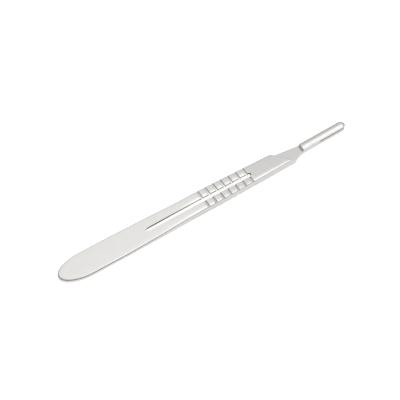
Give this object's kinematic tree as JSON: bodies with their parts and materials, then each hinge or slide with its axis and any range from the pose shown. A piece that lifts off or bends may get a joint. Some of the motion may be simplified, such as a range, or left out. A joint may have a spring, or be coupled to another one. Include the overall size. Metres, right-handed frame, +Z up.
{
  "type": "scalpel handle",
  "caption": "Flat one-piece steel scalpel handle with a rounded tail, a ribbed grip, and a grooved stud at the front that a detachable blade slides on.",
  "frame": {"origin": "on the plane of the flat underside, below the middle of the handle's length and width", "axes": "+X along the handle from the tail to the blade fitting, +Y towards the spine side, +Z up out of the face that carries the blade"},
  "size_m": [0.135, 0.0116, 0.0034],
  "materials": {
    "handle": "satin tumbled stainless steel"
  },
  "bodies": {
    "root": {"handle": "handle"}
  },
  "joints": []
}
